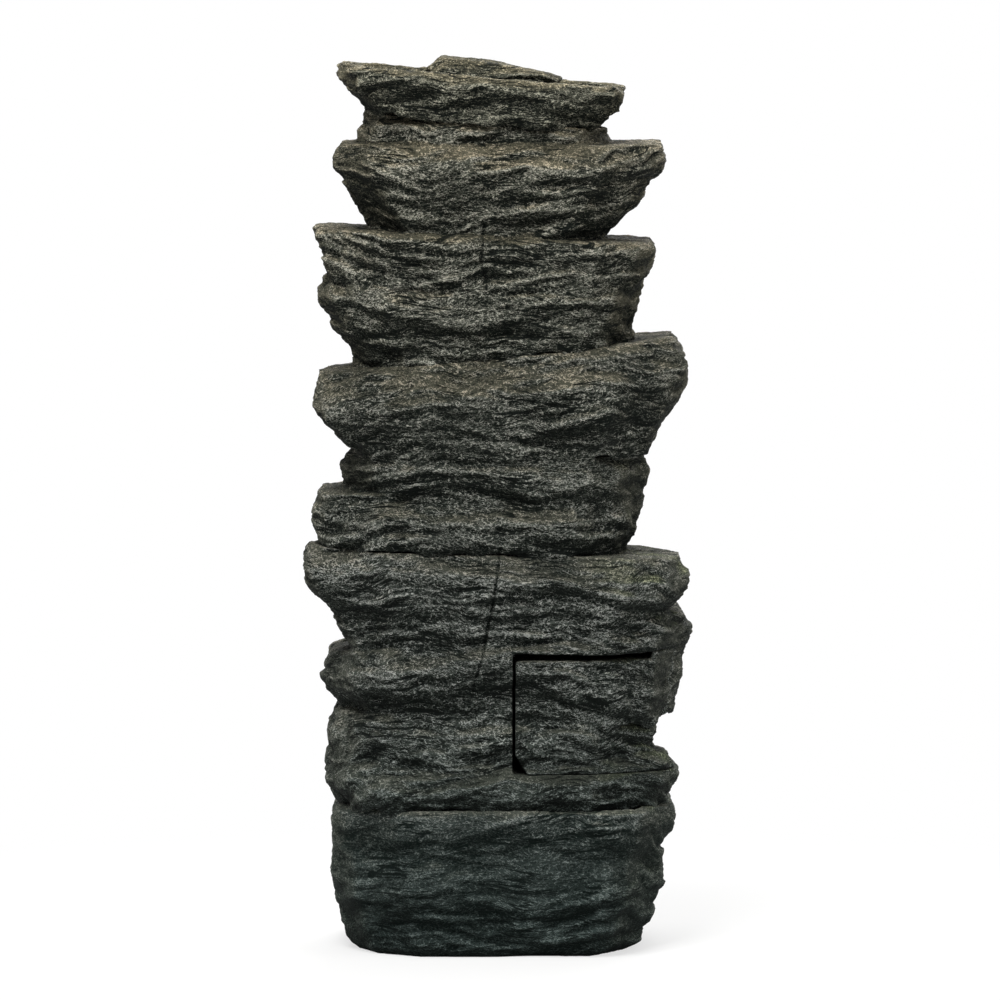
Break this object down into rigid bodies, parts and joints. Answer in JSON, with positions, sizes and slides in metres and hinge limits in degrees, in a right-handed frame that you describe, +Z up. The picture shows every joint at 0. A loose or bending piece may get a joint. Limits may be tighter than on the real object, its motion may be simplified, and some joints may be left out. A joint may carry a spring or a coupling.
{
  "type": "garden fountain",
  "caption": "Tall garden fountain cast as stacked slate beds, with stepped ledges in front, a pull-out access block at the rear corner and a recirculating pump in the basin.",
  "frame": {"origin": "centre of the flat foot, on the ground", "axes": "+Z up; the rear with the access hatch looks along -Y, the cascade and its pool along +Y; +X is on the right seen from the rear"},
  "size_m": [0.4402, 0.34, 1.0181],
  "materials": {
    "tower_stone": "rough cast resin, dry-brushed dark slate",
    "base_stone": "rough cast resin, darker slate",
    "ledge_stone": "rough cast resin, brown-grey slate",
    "top_stone": "rough cast resin, brown-grey slate",
    "pump_plastic": "moulded black plastic",
    "dial_plastic": "moulded blue-grey plastic",
    "impeller_plastic": "moulded off-white plastic",
    "magnet": "sintered ferrite",
    "shaft_steel": "ground steel",
    "rubber": "black rubber",
    "hose_rubber": "black vinyl hose",
    "clip_steel": "spring steel",
    "fitting_plastic": "moulded dark grey plastic"
  },
  "bodies": {
    "fountain": {"base_basin": "base_stone", "lower_rear_shell": "tower_stone", "lower_front_shell": "tower_stone", "middle_rear_shell": "tower_stone", "middle_front_shell": "tower_stone", "upper_rear_shell": "tower_stone", "upper_front_shell": "tower_stone", "hatch_frame": "tower_stone", "upper_ledge": "ledge_stone", "second_ledge": "ledge_stone", "third_ledge": "ledge_stone", "fourth_ledge": "ledge_stone", "fifth_ledge": "ledge_stone", "top_bowl": "top_stone", "cap_stone": "top_stone", "pump_housing": "pump_plastic", "pump_volute": "pump_plastic", "intake_strainer": "pump_plastic", "impeller_shaft": "shaft_steel", "shaft_bushes": "rubber", "volute_seal": "rubber", "suction_cups": "rubber", "cable_gland": "pump_plastic", "delivery_hose": "hose_rubber", "hose_clips": "clip_steel", "outlet_fitting": "fitting_plastic", "outlet_nut": "fitting_plastic", "outlet_washer": "rubber"},
    "hatch": {"access_hatch": "tower_stone"},
    "rotor": {"impeller": "impeller_plastic", "rotor_magnet": "magnet"},
    "dial": {"flow_dial": "dial_plastic"}
  },
  "joints": [
    {"name": "hatch_pull", "type": "slide", "parent": "fountain", "child": "hatch", "axis": [0, -1, 0], "range_m": [0, 0.12]},
    {"name": "impeller_spin", "type": "hinge", "parent": "fountain", "child": "rotor", "pos_m": [-0.048, -0.055, 0.047], "axis": [0, -1, 0], "continuous": true},
    {"name": "flow_dial_turn", "type": "hinge", "parent": "fountain", "child": "dial", "pos_m": [-0.048, -0.0793, 0.047], "axis": [0, -1, 0], "range_deg": [0, 90]}
  ]
}
